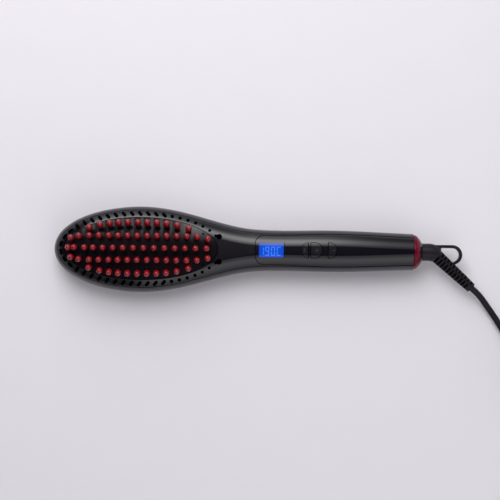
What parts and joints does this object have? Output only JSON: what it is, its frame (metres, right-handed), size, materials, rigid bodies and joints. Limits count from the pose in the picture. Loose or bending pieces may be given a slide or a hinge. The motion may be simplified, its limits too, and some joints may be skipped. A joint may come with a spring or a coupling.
{
  "type": "heated straightening brush",
  "caption": "Corded hair straightening brush: oval heated bristle head with cooling vents, blue display, push buttons, swivelling mains cord and plug.",
  "frame": {"origin": "on the resting surface, under the middle of the brush body, where the keel of the back touches it", "axes": "+X from the nose of the head to the cord, +Z to the bristle side, +Y to the left of the brush"},
  "size_m": [0.4317, 0.1474, 0.0396],
  "materials": {
    "shell_black": "high gloss moulded",
    "panel_black": "high gloss inlay",
    "lens_clear": "clear, polished",
    "display_blue": "backlit blue",
    "backlight_white": "diffusing",
    "frame_white": "moulded",
    "button_black": "gloss",
    "pad_black": "semi-gloss ceramic coating on cast aluminium",
    "tooth_black": "semi-gloss ceramic coating",
    "tip_red": "gloss, heat resistant",
    "ring_red": "metallic red, gloss",
    "cap_black": "gloss",
    "stem_black": "self-lubricating nylon",
    "relief_black": "matte moulded rubber",
    "cord_black": "satin rubber sheath",
    "tie_black": "hook-and-loop tape",
    "plug_black": "satin moulded",
    "pin_steel": "nickel plated",
    "screw_steel": "blackened zinc",
    "heater_alloy": "plain",
    "film_amber": "polyimide film",
    "clamp_steel": "plain",
    "shield_mica": "pressed mica",
    "board_green": "solder mask",
    "part_black": "moulded",
    "capacitor_yellow": "moulded",
    "fuse_ceramic": "plain",
    "wire_white": "silicone insulation",
    "contact_brass": "plain",
    "plunger_white": "moulded"
  },
  "bodies": {
    "brush_body": {"front_housing": "shell_black", "rear_housing": "shell_black", "control_panel": "panel_black", "display_lens": "lens_clear", "lcd_glass": "display_blue", "lcd_backlight": "backlight_white", "lcd_frame": "frame_white", "switch_body_minus": "part_black", "switch_body_plus": "part_black", "switch_body_power": "part_black", "control_board": "board_green", "board_screws": "screw_steel", "triac": "part_black", "film_capacitor": "capacitor_yellow", "board_fuse": "fuse_ceramic", "ptc_heaters": "heater_alloy", "insulating_sheet": "film_amber", "heater_clamp": "clamp_steel", "clamp_screws": "screw_steel", "heating_pad": "pad_black", "pad_pins": "screw_steel", "thermistor": "fuse_ceramic", "thermal_fuse": "fuse_ceramic", "heat_shield": "shield_mica", "heater_leads": "wire_white", "mains_leads": "wire_white", "neck_screws": "screw_steel", "end_cap": "cap_black", "end_ring": "ring_red", "slip_contacts": "contact_brass", "contact_carrier": "frame_white", "tooth_row_1": "tooth_black", "tip_row_1": "tip_red", "tooth_row_2": "tooth_black", "tip_row_2": "tip_red", "tooth_row_3": "tooth_black", "tip_row_3": "tip_red", "tooth_row_4": "tooth_black", "tip_row_4": "tip_red", "tooth_row_5": "tooth_black", "tip_row_5": "tip_red"},
    "cord_swivel": {"swivel_stem": "stem_black", "slip_rings": "contact_brass", "strain_relief": "relief_black", "hanging_loop": "relief_black", "cord_lead": "cord_black", "cord_coil": "cord_black", "cord_tail": "cord_black", "cord_tie": "tie_black", "plug_body": "plug_black", "plug_pins": "pin_steel"},
    "minus_button": {"button_minus": "button_black", "switch_plunger_minus": "plunger_white"},
    "plus_button": {"button_plus": "button_black", "switch_plunger_plus": "plunger_white"},
    "power_button": {"button_power": "button_black", "switch_plunger_power": "plunger_white"}
  },
  "joints": [
    {"name": "minus_press", "type": "slide", "parent": "brush_body", "child": "minus_button", "axis": [0, 0, -1], "range_m": [0, 0.00045], "stiffness_N_per_m": 1500, "springref_m": -0.0006},
    {"name": "plus_press", "type": "slide", "parent": "brush_body", "child": "plus_button", "axis": [0, 0, -1], "range_m": [0, 0.00045], "stiffness_N_per_m": 1500, "springref_m": -0.0006},
    {"name": "power_press", "type": "slide", "parent": "brush_body", "child": "power_button", "axis": [0, 0, -1], "range_m": [0, 0.00045], "stiffness_N_per_m": 1500, "springref_m": -0.0006},
    {"name": "cord_turn", "type": "hinge", "parent": "brush_body", "child": "cord_swivel", "pos_m": [0.13, 0, 0.013], "axis": [1, 0, 0], "continuous": true}
  ]
}
